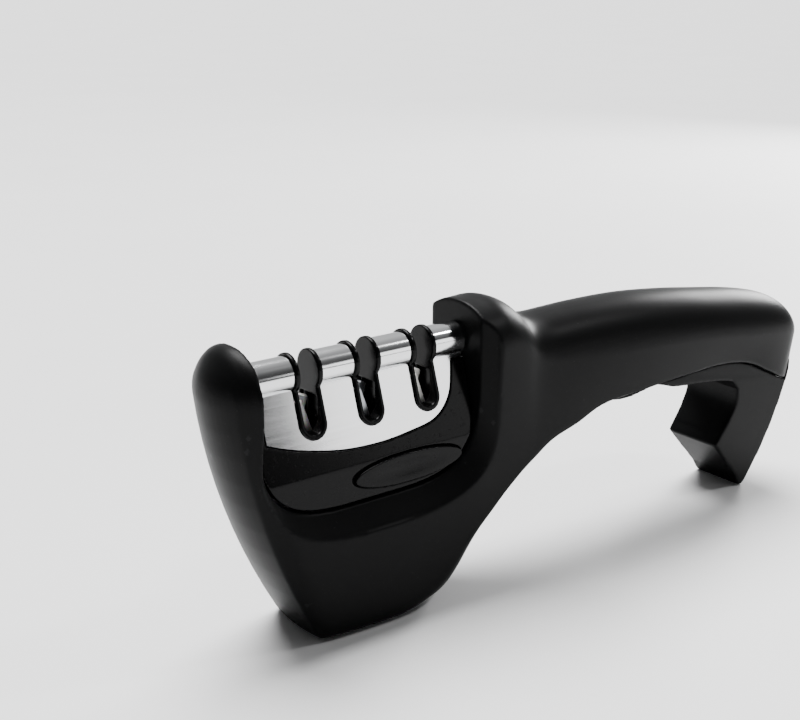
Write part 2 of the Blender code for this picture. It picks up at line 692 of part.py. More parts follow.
def main():
    black = material("black_abs", (0.022, 0.022, 0.024), 0.42)
    gloss = material("gloss_black_abs", (0.012, 0.012, 0.013), 0.22)
    rubber = material("grey_rubber", (0.06, 0.06, 0.06), 0.75)
    steel = material("polished_steel", (0.72, 0.72, 0.73), 0.18, 1.0)
    zinc = material("zinc_plate", (0.55, 0.56, 0.58), 0.35, 1.0)
    grey = material("grey_nylon", (0.30, 0.30, 0.31), 0.5)
    diamond = material("diamond_grit", (0.42, 0.42, 0.43), 0.6, 0.6)
    carbide = material("tungsten_carbide", (0.34, 0.35, 0.37), 0.3, 1.0)
    ceramic = material("white_ceramic", (0.86, 0.85, 0.82), 0.35)
    body_shell(black)
    handle_insert(black)
    base_cover(black)
    base_pad(rubber)
    for i, x in enumerate(INSERT_SCREW_X, 1):
        screw(f"insert_screw_{i}", x, INSERT_HEAD_Z, 58.0, zinc)
    for i, x in enumerate(BASE_SCREW_X, 1):
        screw(f"base_screw_{i}", x, 4.1, 14.0, zinc, 2.4, 1.4)
    cartridge(black, gloss, steel, grey, zinc, diamond, carbide, ceramic)


clear_scene()
PARTS = new_collection("knife_sharpener")
CUTTERS = new_collection("cutters")
CUTTERS.hide_render = True
ORIGIN = bpy.data.objects.new("sharpener_origin", None)
PARTS.objects.link(ORIGIN)
ORIGIN.location = (-CENTRE_X * MM, 0.0, 0.0)
main()
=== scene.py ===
"""Finished look of the hand-held knife sharpener: satin black body, glossy lift-out cartridge,
polished steel cover and pale studio. Sizes are in millimetres and become metres through MM."""

import json
import math

import bmesh
import bpy
import numpy as np
from mathutils import Matrix, Vector

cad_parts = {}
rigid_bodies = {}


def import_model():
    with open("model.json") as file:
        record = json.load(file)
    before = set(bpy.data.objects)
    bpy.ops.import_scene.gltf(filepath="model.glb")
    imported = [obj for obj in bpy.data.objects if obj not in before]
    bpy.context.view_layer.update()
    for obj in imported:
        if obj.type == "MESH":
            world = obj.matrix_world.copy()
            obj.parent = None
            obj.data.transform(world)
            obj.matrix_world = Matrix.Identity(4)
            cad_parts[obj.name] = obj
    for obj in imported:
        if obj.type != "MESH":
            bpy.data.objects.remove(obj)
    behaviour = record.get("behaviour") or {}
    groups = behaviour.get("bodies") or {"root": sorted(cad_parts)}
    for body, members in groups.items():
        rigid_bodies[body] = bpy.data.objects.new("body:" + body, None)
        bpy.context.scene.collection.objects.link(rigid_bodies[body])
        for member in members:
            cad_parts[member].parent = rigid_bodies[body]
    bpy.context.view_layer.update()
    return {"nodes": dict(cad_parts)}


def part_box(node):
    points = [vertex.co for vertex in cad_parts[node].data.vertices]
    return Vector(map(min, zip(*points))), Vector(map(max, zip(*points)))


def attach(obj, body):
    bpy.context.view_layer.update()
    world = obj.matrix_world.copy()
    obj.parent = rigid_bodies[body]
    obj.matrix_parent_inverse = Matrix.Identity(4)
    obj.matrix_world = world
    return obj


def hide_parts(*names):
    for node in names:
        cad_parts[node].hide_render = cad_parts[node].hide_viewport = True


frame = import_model()

MM = 0.001
# The drawing's zero in the frame, found from a screw that stands at a known place.
BASE_SCREW_X = -68.5
_low, _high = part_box("base_screw_1")
DRAWN_ZERO = (_low.x + _high.x) / 2 - BASE_SCREW_X * MM

POCKET_INNER = dict(middle=-57.8, half=32.4, low=33.4, top=56.0, square=4.0)
POCKET_OUTER = dict(middle=-56.5, half=34.2, low=27.1, top=46.0, square=3.0)
POCKET_INNER_Y, POCKET_OUTER_Y = 10.0, 13.5
TUBE_Z, TUBE_RADIUS, SHEET = 66.4, 4.4, 0.6
SKIRT_TOP, SKIRT_FOOT = (3.0, 63.0), (9.1, 44.5)
SKIRT_FRONT_X, COVER_FRONT_X, COVER_REAR_X = -86.0, -89.4, -26.2
SLOTS = dict(coarse=-73.0, fine=-56.3, finishing=-39.3)
SLOT_HALF_GAP, LINER_WALL, LINER_PROUD, SLOT_ROUND_Z = 2.5, 1.2, 0.65, 55.0
WINDOW_HALF_Y, WINDOW_TOP_Z = 3.5, 60.6
CARTRIDGE_HALF_Y = 9.55
HOLDER_HALF = (4.6, 5.0)
KEEPER_X, KEEPER_HALF_Y, KEEPER_TOP_Z = (-80.0, -33.0), 5.2, 36.3
KEEPER_SCREW_X, BASE_SCREWS_X, INSERT_SCREW_X = (-64.6, -47.7), (-68.5, -40.5), (16.0, 38.0, 60.0)
PAD_CENTRE, PAD_HALF, PAD_Y, PAD_TRAVEL = (-47.7, 39.4), (16.4, 3.8), (7.9, 10.4), 1.4
CHANNEL_HALF_Y, INSERT_HALF_Y, FOOT_TAPER, INSERT_HEAD_Z = 8.8, 10.35, 0.17, 47.0
BASE_RECESS_TOP_Z = 6.0
NOSE_CROWN, HEEL_CROWN = (1.1, 3.3), 1.2
SCREW_BORE, COUNTERBORE = 1.6, 2.9      # radii

# Camera, from the drawing's zero, in metres and degrees
CAMERA_PLACE, CAMERA_TURN, CAMERA_LENS = (-0.2221, -0.2398, 0.1584), (72.4, 0.0, -36.7), 56.75

# Body sections, nose to heel: crown (x, z), bottom (x, z), forward bow, shoulder (y, z), lower edge
# of the flat side (y, z) and how square the underside is.
SECTIONS = (
    ((-96.0, 72.2), (-75.0, 0.8), 4.7, (10.5, 64.0), (10.3, 1.8), 6.0),
    ((-93.5, 75.0), (-73.0, 0.8), 4.6, (13.0, 64.0), (11.4, 1.8), 6.0),
    ((-89.5, 76.1), (-69.5, 0.8), 4.2, (15.0, 64.0), (12.0, 1.8), 6.0),
    ((-76.0, 76.2), (-61.0, 0.8), 2.5, (15.6, 63.5), (12.6, 1.8), 6.0),
    ((-58.0, 76.2), (-52.0, 0.8), 1.0, (15.6, 63.5), (13.0, 2.2), 6.0),
    ((-45.0, 76.0), (-43.0, 0.8), 0.0, (15.3, 64.0), (13.0, 7.3), 4.0),
    ((-35.0, 76.1), (-35.0, 1.1), 0.0, (15.0, 64.5), (13.0, 13.4), 2.3),
    ((-28.0, 76.2), (-28.0, 5.2), 0.0, (14.8, 65.0), (13.0, 18.0), 1.25),
    ((-22.5, 76.4), (-22.5, 11.0), 0.0, (14.4, 65.5), (12.9, 22.5), 1.15),
    ((-17.5, 76.5), (-17.5, 18.5), 0.0, (14.0, 65.5), (12.8, 26.8), 1.25),
    ((-12.0, 74.3), (-12.0, 26.0), 0.0, (13.3, 63.0), (12.7, 31.2), 1.7),
    ((-7.0, 70.3), (-7.0, 31.0), 0.0, (12.4, 59.0), (12.6, 34.5), 2.4),
    ((-1.0, 68.9), (-1.0, 35.0), 0.0, (12.2, 57.5), (12.4, 37.8), 3.0),
    ((8.0, 69.0), (8.0, 38.0), 0.0, (12.4, 57.0), (12.2, 40.3), 4.0),
    ((18.0, 69.2), (18.0, 41.9), 0.0, (12.8, 56.5), (12.0, 43.1), 6.0),
    ((35.0, 68.8), (35.0, 42.9), 0.0, (13.4, 56.0), (11.9, 43.9), 6.0),
    ((52.0, 67.2), (52.0, 43.6), 0.0, (13.7, 55.0), (11.9, 44.6), 6.0),
    ((68.0, 65.0), (67.0, 43.9), 0.0, (13.8, 53.5), (12.0, 44.9), 6.0),
    ((82.0, 62.9), (79.5, 42.0), 0.0, (13.6, 51.5), (12.1, 43.0), 6.0),
    ((93.5, 60.4), (90.0, 37.4), 0.0, (13.0, 50.0), (11.9, 38.4), 6.0),
    ((100.2, 57.7), (97.0, 34.0), 0.0, (12.0, 49.0), (11.2, 35.0), 6.0),
    ((103.8, 54.4), (100.8, 32.6), 0.0, (10.2, 47.5), (9.8, 33.6), 6.0),
)
# Underside of the handle with its finger bumps, down to the front of the foot, and the foot's back.
BUMPS = (
    (9.0, 38.3), (12.5, 39.9), (16.0, 41.0), (21.5, 41.9), (25.3, 41.4), (30.0, 41.3),
    (35.2, 42.0), (40.0, 42.7), (44.0, 41.8), (48.0, 40.6), (53.5, 39.9), (60.0, 39.3),
    (68.0, 38.3), (74.5, 36.9), (77.3, 34.0), (77.5, 30.0), (75.8, 25.5), (69.7, 16.7),
)
HEEL_BACK = ((85.5, 0.05), (91.3, 8.6), (96.5, 18.9), (100.5, 30.1), (101.9, 36.0))
# Half outline (x, y) of the base, front to rear.
BASE_OUTLINE = (
    (-72.5, 8.2), (-66.0, 9.4), (-58.0, 10.3), (-50.0, 10.4), (-43.0, 8.8), (-37.0, 5.6), (-33.5, 2.2),
)


# ---------------------------------------------------------------- bench: making and cutting shapes

def shape(name, maker):
    """A mesh object filled by maker(bmesh), drawn in millimetres from the drawing's zero."""
    form = bmesh.new()
    maker(form)
    bmesh.ops.remove_doubles(form, verts=form.verts, dist=0.002)
    bmesh.ops.recalc_face_normals(form, faces=form.faces)
    place = Matrix.Translation((DRAWN_ZERO, 0, 0)) @ Matrix.Scale(MM, 4)
    bmesh.ops.transform(form, matrix=place, verts=form.verts)
    mesh = bpy.data.meshes.new(name)
    form.to_mesh(mesh)
    form.free()
    obj = bpy.data.objects.new(name, mesh)
    bpy.context.scene.collection.objects.link(obj)
    return obj


def settle(obj):
    """Turns an object's modifiers into its mesh."""
    bpy.context.view_layer.update()
    made = bpy.data.meshes.new_from_object(obj.evaluated_get(bpy.context.evaluated_depsgraph_get()))
    old = obj.data
    obj.modifiers.clear()
    obj.data = made
    made.name = obj.name
    if not old.users:
        bpy.data.meshes.remove(old)
    return obj


def combine(obj, operation, *others):
    for other in others:
        step = obj.modifiers.new(operation, "BOOLEAN")
        step.operation = operation
        step.object = other
        step.solver = "EXACT"
    settle(obj)
    for other in others:
        bpy.data.objects.remove(other)
    return obj


def cut(obj, *others):
    return combine(obj, "DIFFERENCE", *others)


def keep(obj, other):
    return combine(obj, "INTERSECT", other)


def join(obj, *others):
    return combine(obj, "UNION", *others)


def box(name, low, high):
    middle = Vector([(a + b) / 2 for a, b in zip(low, high)])
    size = Vector([b - a for a, b in zip(low, high)])
    place = Matrix.Translation(middle) @ Matrix.Diagonal(size).to_4x4()
    return shape(name, lambda form: bmesh.ops.create_cube(form, size=1.0, matrix=place))


def rod(name, start, end, radius, sides=48):
    a, b = Vector(start), Vector(end)
    place = Matrix.Translation((a + b) / 2) @ (b - a).to_track_quat("Z", "Y").to_matrix().to_4x4()
    return shape(name, lambda form: bmesh.ops.create_cone(
        form, cap_ends=True, segments=sides, radius1=radius, radius2=radius,
        depth=(b - a).length, matrix=place))


def plate(name, outline, low, high, across="Y"):
    """A flat outline with thickness. Across Y it is (x, z), across X (y, z) and across Z (x, y)."""
    lay = {
        "Y": lambda u, v, w: (u, w, v),
        "X": lambda u, v, w: (w, u, v),
        "Z": lambda u, v, w: (u, v, w),
    }[across]

    def make(form):
        rings = [[form.verts.new(lay(u, v, w)) for u, v in outline] for w in (low, high)]
        count = len(outline)
        for i in range(count):
            j = (i + 1) % count
            form.faces.new((rings[0][i], rings[0][j], rings[1][j], rings[1][i]))
        caps = [form.faces.new(ring) for ring in rings]
        form.normal_update()
        bmesh.ops.triangulate(form, faces=caps, ngon_method="EAR_CLIP")

    return shape(name, make)


def loft(name, rings):
    """A closed skin over rings of equally many points; an end ring that is a line is left open."""

    def make(form):
        loops = [[form.verts.new(point) for point in ring] for ring in rings]
        count = len(loops[0])
        for first, second in zip(loops, loops[1:]):
            for i in range(count):
                j = (i + 1) % count
                form.faces.new((first[i], first[j], second[j], second[i]))
        for ring, loop in ((rings[0], loops[0]), (rings[-1], loops[-1])):
            if any(abs(point[1]) > 1e-6 for point in ring):
                form.faces.new(loop)

    return shape(name, make)


def smooth_path(points, steps):
    """Points along a Catmull-Rom curve through tuples of numbers, open at both ends."""
    path = []
    last = len(points) - 1
    for i in range(last):
        before, here, there, after = (points[min(max(k, 0), last)] for k in (i - 1, i, i + 1, i + 2))
        for step in range(steps):
            t = step / steps
            path.append(tuple(
                0.5 * (2 * b + (c - a) * t + (2 * a - 5 * b + 4 * c - d) * t * t
                       + (3 * b - a - 3 * c + d) * t ** 3)
                for a, b, c, d in zip(before, here, there, after)))
    path.append(points[-1])
    return path


def arc(centre, radius, start_deg, end_deg, steps):
    turns = [math.radians(start_deg + (end_deg - start_deg) * i / steps) for i in range(steps + 1)]
    return [(centre[0] + radius * math.cos(a), centre[1] + radius * math.sin(a)) for a in turns]


def mirrored(half):
    return list(half) + [(-u, v) for u, v in reversed(half) if abs(u) > 1e-9]


def soften(obj, rounds, strength=0.5):
    """Relaxes a mesh so that its edges turn into small radii."""
    mesh = obj.data
    points = np.empty(len(mesh.vertices) * 3)
    mesh.vertices.foreach_get("co", points)
    points = points.reshape(-1, 3)
    edges = np.empty(len(mesh.edges) * 2, np.int64)
    mesh.edges.foreach_get("vertices", edges)
    a, b = edges.reshape(-1, 2).T
    count = np.bincount(np.concatenate([a, b]), minlength=len(points))[:, None]
    for _ in range(rounds):
        near = np.stack([np.bincount(a, points[b, k], len(points)) + np.bincount(b, points[a, k], len(points))
                         for k in range(3)], axis=1)
        points += strength * (near / count - points)
    mesh.vertices.foreach_set("co", points.ravel())
    mesh.update()


def mould(obj, grain, rounds, faces):
    """Rebuilds a cut shape as one even skin with rounded edges, as a moulding has."""
    skin = obj.modifiers.new("skin", "REMESH")
    skin.mode = "VOXEL"
    skin.voxel_size = grain * MM
    settle(obj)
    soften(obj, rounds)
    triangles = 2 * len(obj.data.polygons)
    if triangles > faces:
        thin = obj.modifiers.new("thin", "DECIMATE")
        thin.ratio = faces / triangles
        settle(obj)
    obj.data.shade_smooth()
    return obj


def fit(obj, body, slot, look, *nodes):
    """Puts a finished piece on its body in place of the CAD nodes it stands for."""
    obj.data.materials.clear()
    obj.data.materials.append(look)
    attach(obj, body)
    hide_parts(*nodes)
    return obj


# ---------------------------------------------------------------- body forms

def half_ring(section, lower, arch=22, side=10, under=16):
    """(y, z) from the crown round to the bottom on the positive side of a body section."""
    crown, bottom, _, shoulder, edge, square = section
    points = []
    for i in range(arch):
        turn = math.pi / 2 * i / arch
        rise = (crown[1] - shoulder[1]) * math.cos(turn)
        points.append((shoulder[0] * math.sin(turn), shoulder[1] + rise))
    for i in range(side):
        t = i / side
        fall = edge[1] - lower - shoulder[1]
        points.append((shoulder[0] + (edge[0] - shoulder[0]) * t, shoulder[1] + fall * t))
    for i in range(under + 1):
        turn = math.pi / 2 * i / under
        across = math.cos(turn) ** (2 / square)
        down = math.sin(turn) ** (2 / square)
        points.append((edge[0] * across, edge[1] - lower - (edge[1] - bottom[1]) * down))
    points[-1] = (0.0, bottom[1] - lower)
    return points


def body_ring(section, squeeze=1.0, bulge=None, lower=0.0):
    """One closed ring of the body. squeeze narrows it to the plane of symmetry, while bulge moves
    its middle out along X by (amount at the foot, amount at the shoulder)."""
    crown, bottom, bow, shoulder = section[:4]
    ring = []
    for y, z in half_ring(section, lower):
        down = (crown[1] - z) / (crown[1] - bottom[1] + lower)
        x = crown[0] + (bottom[0] - crown[0]) * down - bow * 4 * down * (1 - down)
        if bulge:
            up = min(max(z / shoulder[1], 0.0), 1.0)
            amount = bulge[0] + (bulge[1] - bulge[0]) * up
            x += amount * (1 - squeeze ** 2) * (y / shoulder[0]) ** 2
        ring.append((x, y * squeeze, z))
    return ring + [(x, -y, z) for x, y, z in reversed(ring[1:-1])]


def body_form(name, lower=0.0, steps=6):
    """The outer form of head and handle, before anything is cut from it. lower drops its underside."""
    flat = [(*c, *b, bow, *s, *e, q) for c, b, bow, s, e, q in SECTIONS]
    sections = [(f[0:2], f[2:4], f[4], f[5:7], f[7:9], f[9]) for f in smooth_path(flat, steps)]
    nose = (-NOSE_CROWN[0], -NOSE_CROWN[1])
    heel = (HEEL_CROWN, HEEL_CROWN)
    rings = [body_ring(sections[0], s, nose, lower) for s in (0.0, 0.15, 0.3, 0.45, 0.6, 0.75, 0.9)]
    rings += [body_ring(section, lower=lower) for section in sections]
    rings += [body_ring(sections[-1], s, heel, lower) for s in (0.85, 0.7, 0.5, 0.25, 0.0)]
    return loft(name, rings)


def pocket_outline(middle, half, low, top, square, grow=0.0, steps=48):
    """U-shaped (x, z) outline of the cartridge pocket, open upwards to well above the head."""
    half, low = half + grow, low - grow
    points = [(middle + half, 95.0)]
    for i in range(steps + 1):
        turn = math.pi * i / steps
        across = math.copysign(abs(math.cos(turn)) ** (2 / square), math.cos(turn))
        points.append((middle + half * across, top - (top - low) * max(math.sin(turn), 0.0) ** (2 / 2.6)))
    points.append((middle - half, 95.0))
    return points


def pocket_cutter():
    inner, outer = pocket_outline(**POCKET_INNER), pocket_outline(**POCKET_OUTER)
    stops = ((-25.0, outer), (-POCKET_OUTER_Y, outer), (-POCKET_INNER_Y, inner),
             (POCKET_INNER_Y, inner), (POCKET_OUTER_Y, outer), (25.0, outer))
    return loft("pocket", [[(x, y, z) for x, z in outline] for y, outline in stops])


def base_outline(grow=0.0):
    """Leaf-shaped (x, y) outline of the base recess."""
    half = smooth_path(BASE_OUTLINE, 6)
    half = [(x + (grow if x > -50 else -grow) * abs(x + 55) / 20, y + grow) for x, y in half]
    return half + [(x, -y) for x, y in reversed(half)]


def handle_shell(look):
    shell = body_form("handle_shell")
    channel = ((9.0, 20.0), (9.0, 50.4), (70.0, 50.4), (84.0, 47.6), (91.0, 44.0), (93.0, 20.0))
    cut(shell, pocket_cutter())
    cut(shell, plate("recess", base_outline(0.4), -5.0, BASE_RECESS_TOP_Z, "Z"),
        box("hollow", (-63.0, -8.0, 5.0), (-46.0, 8.0, 26.0)),
        plate("channel", channel, -CHANNEL_HALF_Y, CHANNEL_HALF_Y))
    cut(shell, *[rod(f"boss{x}", (x, 0, 45.0), (x, 0, 58.5), SCREW_BORE) for x in INSERT_SCREW_X])
    cut(shell, *[rod(f"base_boss{x}", (x, 0, 4.0), (x, 0, 14.5), SCREW_BORE) for x in BASE_SCREWS_X])
    mould(shell, grain=0.45, rounds=3, faces=190000)
    return fit(shell, "body", "black_abs", look, "body_shell")


def insert_outline(raise_by=0.0):
    outline = smooth_path(BUMPS[:14], 5) + smooth_path(BUMPS[14:], 5)
    outline += [(81.3, 4.0), (83.9, 0.05)] + smooth_path(HEEL_BACK, 6) + [(101.9, 52.0), (9.0, 52.0)]
    return [(x, z + raise_by) for x, z in outline]


def finger_insert(look):
    insert = plate("finger_insert", insert_outline(), -INSERT_HALF_Y, INSERT_HALF_Y)
    for vertex in insert.data.vertices:
        down = max(0.0, 38.0 - vertex.co.z / MM) / 38.0
        vertex.co.y *= 1 - FOOT_TAPER * down
    cut(insert, body_form("shell_above", lower=0.12), box("trim", (-20.0, -20.0, 44.6), (130.0, 20.0, 80.0)))
    tongue = plate("tongue", insert_outline(0.2), 0.5 - CHANNEL_HALF_Y, CHANNEL_HALF_Y - 0.5)
    inside = ((9.9, 20.0), (9.9, 49.7), (69.7, 49.7), (83.4, 46.9), (89.9, 43.4), (91.4, 37.0), (91.4, 20.0))
    keep(tongue, plate("tongue_trim", inside, -20.0, 20.0))
    join(insert, tongue)
    for x in INSERT_SCREW_X:
        cut(insert, rod(f"bore{x}", (x, 0, 30.0), (x, 0, INSERT_HEAD_Z + 0.2), COUNTERBORE),
            rod(f"hole{x}", (x, 0, 30.0), (x, 0, 60.0), SCREW_BORE))
    mould(insert, grain=0.36, rounds=5, faces=150000)
    return fit(insert, "body", "black_abs", look, "handle_insert")


# ---------------------------------------------------------------- cartridge forms

def cover_line(offset=0.0, steps=26):
    """Half of the steel cover's section, from the skirt's foot to the tube's crown, as (y, z)
    moved out by offset."""
    foot, top, centre = Vector(SKIRT_FOOT), Vector(SKIRT_TOP), Vector((0.0, TUBE_Z))
    run = (top - foot).normalized()
    out = Vector((run.y, -run.x))
    reach = (foot - centre).dot(out) + offset
    radius = TUBE_RADIUS + offset
    meeting = out * reach - run * math.sqrt(radius ** 2 - reach ** 2)
    tube = arc(centre, radius, math.degrees(math.atan2(meeting.y, meeting.x)), 90.0, steps)
    tube[-1] = (0.0, TUBE_Z + radius)
    return [tuple(foot + out * offset)] + tube


def cover_outline(grow=0.0):
    """Side outline (x, z) of the steel cover: the skirt's lower edge is one long curve."""
    low_edge = smooth_path(((SKIRT_FRONT_X, 52.6), (-78.4, 50.1), (-67.0, 47.8), (-56.0, 47.2),
                            (-46.5, 47.9), (-38.0, 49.5), (-32.6, 54.2), (-30.2, 61.8)), 8)
    low_edge = [(x, z - grow) for x, z in low_edge]
    return ([(COVER_FRONT_X - grow, 80.0), (COVER_FRONT_X - grow, 62.2 - grow),
             (SKIRT_FRONT_X - grow, 62.2 - grow), (SKIRT_FRONT_X - grow, low_edge[0][1])] + low_edge[1:-1]
            + [(-30.0 + grow, 62.2 - grow), (COVER_REAR_X + grow, 62.2 - grow), (COVER_REAR_X + grow, 80.0)])


def slot_cutter(name, x, half):
    """A block with the outline of a slot, round at the bottom."""
    outline = [(x - half, 90.0)] + arc((x, SLOT_ROUND_Z), half, 180.0, 360.0, 28) + [(x + half, 90.0)]
    return plate(name, outline, -25.0, 25.0)


def steel_sleeve(look):
    section = mirrored(cover_line()) + mirrored(cover_line(-SHEET))[::-1]
    sleeve = plate("steel_sleeve", section, COVER_FRONT_X - 5, COVER_REAR_X + 5, "X")
    keep(sleeve, plate("sleeve_trim", cover_outline(), -20.0, 20.0))
    half = SLOT_HALF_GAP + LINER_WALL + 0.2
    cut(sleeve, *[slot_cutter("slot_" + name, x, half) for name, x in SLOTS.items()])
    sleeve.data.shade_smooth()
    sleeve.data.set_sharp_from_angle(angle=math.radians(30))
    return fit(sleeve, "cartridge", "polished_steel", look, "steel_cover")


def slot_lip(name, x, look):
    half = SLOT_HALF_GAP + LINER_WALL
    lip = plate("slot_lip_" + name, mirrored(cover_line(LINER_PROUD)), x - half, x + half, "X")
    keep(lip, slot_cutter("outside", x, half))
    cut(lip, slot_cutter("gap", x, SLOT_HALF_GAP),
        box("window", (x - 6, -WINDOW_HALF_Y, 40.0), (x + 6, WINDOW_HALF_Y, WINDOW_TOP_Z)))
    mould(lip, grain=0.17, rounds=6, faces=60000)
    return fit(lip, "cartridge", "gloss_black_abs", look, "slot_liner_" + name)


def pad_form(name, side, reach, grow=0.0):
    """Oval pad between two distances from the middle plane."""
    x, z = PAD_CENTRE
    outline = [(x + (PAD_HALF[0] + grow) * math.cos(a), z + (PAD_HALF[1] + grow) * math.sin(a))
               for a in (2 * math.pi * i / 72 for i in range(72))]
    low, high = sorted((side * reach[0], side * reach[1]))
    return plate(name, outline, low, high)


def cartridge_block(look):
    outline = pocket_outline(**POCKET_INNER, grow=-0.45)
    block = plate("cartridge_block", outline, -CARTRIDGE_HALF_Y, CARTRIDGE_HALF_Y)
    flank = [(CARTRIDGE_HALF_Y, 20.0), (CARTRIDGE_HALF_Y, 43.2)] + cover_line(0.3)[1:2]
    keep(block, plate("flanks", mirrored(flank), -100.0, -10.0, "X"))
    zone = plate("zone", cover_outline(0.3), -20.0, 20.0)
    cut(zone, plate("zone_core", mirrored(cover_line(-SHEET - 0.3)), -100.0, -10.0, "X"))
    cut(block, zone)
    radius = TUBE_RADIUS - SHEET - 0.3
    rib = mirrored([(1.6, 56.0), (1.6, 63.6)] + arc((0.0, TUBE_Z), radius, -60.0, 90.0, 24)[:-1]
                   + [(0.0, TUBE_Z + radius)])
    join(block, plate("rib", rib, COVER_FRONT_X + 0.3, COVER_REAR_X - 0.3, "X"))
    for name, x in SLOTS.items():
        cut(block, slot_cutter("slot", x, SLOT_HALF_GAP + LINER_WALL + 0.3))
        cut(block, box("holder_pocket", (x - HOLDER_HALF[0] - 0.4, -HOLDER_HALF[1] - 0.4, 20.0),
                       (x + HOLDER_HALF[0] + 0.4, HOLDER_HALF[1] + 0.4, 51.5)),
            box("clearance", (x - 4.9, -WINDOW_HALF_Y, 45.0), (x + 4.9, WINDOW_HALF_Y, WINDOW_TOP_Z)))
    cut(block, box("keeper_recess", (KEEPER_X[0] - 0.4, -KEEPER_HALF_Y - 0.4, 20.0),
                   (KEEPER_X[1] + 0.4, KEEPER_HALF_Y + 0.4, KEEPER_TOP_Z + 0.4)))
    cut(block, *[rod(f"keeper_bore{x}", (x, 0, 30.0), (x, 0, 47.0), SCREW_BORE)
                 for x in KEEPER_SCREW_X])
    for side in (-1, 1):
        cut(block, pad_form("pad_recess", side, (PAD_Y[0] - PAD_TRAVEL - 0.3, 14.0), 0.22))
        x, z = PAD_CENTRE
        cut(block, rod("spring_bore", (x, side * 2.5, z), (x, side * 9.0, z), 2.0))
    mould(block, grain=0.26, rounds=3, faces=190000)
    return fit(block, "cartridge", "gloss_black_abs", look, "cartridge_body")


def thumb_pad(side, name, look):
    """An oval pad whose face is crowned and carries a shallow thumb dish."""
    pad = pad_form("thumb_pad_" + name, side, PAD_Y)
    mould(pad, grain=0.2, rounds=4, faces=30000)
    x0, z0 = DRAWN_ZERO + PAD_CENTRE[0] * MM, PAD_CENTRE[1] * MM
    for vertex in pad.data.vertices:
        reach = math.hypot((vertex.co.x - x0) / (PAD_HALF[0] * MM), (vertex.co.z - z0) / (PAD_HALF[1] * MM))
        if abs(vertex.co.y) > 9.2 * MM and reach < 0.8:
            vertex.co.y -= side * 0.45 * MM * (1 - (reach / 0.8) ** 2) ** 2
    return fit(pad, "pad_" + name, "gloss_black_abs", look, "release_pad_" + name)


# ---------------------------------------------------------------- node trees for repeated pieces

class Grower:
    """A geometry node tree with named number inputs, used once on an empty mesh."""

    def __init__(self, name, **sizes):
        self.tree = bpy.data.node_groups.new(name, "GeometryNodeTree")
        self.tree.interface.new_socket("Geometry", in_out="INPUT", socket_type="NodeSocketGeometry")
        self.sizes = sizes
        self.ids = {}
        for label in sizes:
            item = self.tree.interface.new_socket(label, in_out="INPUT", socket_type="NodeSocketFloat")
            self.ids[label] = item.identifier
        self.tree.interface.new_socket("Geometry", in_out="OUTPUT", socket_type="NodeSocketGeometry")
        self.inputs = self.tree.nodes.new("NodeGroupInput").outputs

    def node(self, kind, settings=None, **values):
        made = self.tree.nodes.new(kind)
        for key, value in (settings or {}).items():
            setattr(made, key, value)
        for key, value in values.items():
            socket = made.inputs[int(key[1:])] if key[0] == "_" else made.inputs[key.replace("_", " ")]
            for one in value if isinstance(value, list) else [value]:
                if isinstance(one, bpy.types.NodeSocket):
                    self.tree.links.new(one, socket)
                else:
                    socket.default_value = one
        return made.outputs

    def vector(self, x=0.0, y=0.0, z=0.0):
        return self.node("ShaderNodeCombineXYZ", X=x, Y=y, Z=z)[0]

    def scaled(self, value, factor):
        return self.node("ShaderNodeMath", {"operation": "MULTIPLY"}, _0=value, _1=factor)[0]

    def grow(self, piece_name, geometry, look):
        smooth = self.node("GeometryNodeSetShadeSmooth", Geometry=geometry)[0]
        real = self.node("GeometryNodeRealizeInstances", Geometry=smooth)[0]
        painted = self.node("GeometryNodeSetMaterial", Geometry=real, Material=look)[0]
        self.tree.links.new(painted, self.tree.nodes.new("NodeGroupOutput").inputs[0])
        piece = bpy.data.objects.new(piece_name, bpy.data.meshes.new(piece_name))
        bpy.context.scene.collection.objects.link(piece)
        step = piece.modifiers.new("grow", "NODES")
        step.node_group = self.tree
        for label, identifier in self.ids.items():
            step[identifier] = self.sizes[label]
        settle(piece)
        piece.data.set_sharp_from_angle(angle=math.radians(35))
        return piece


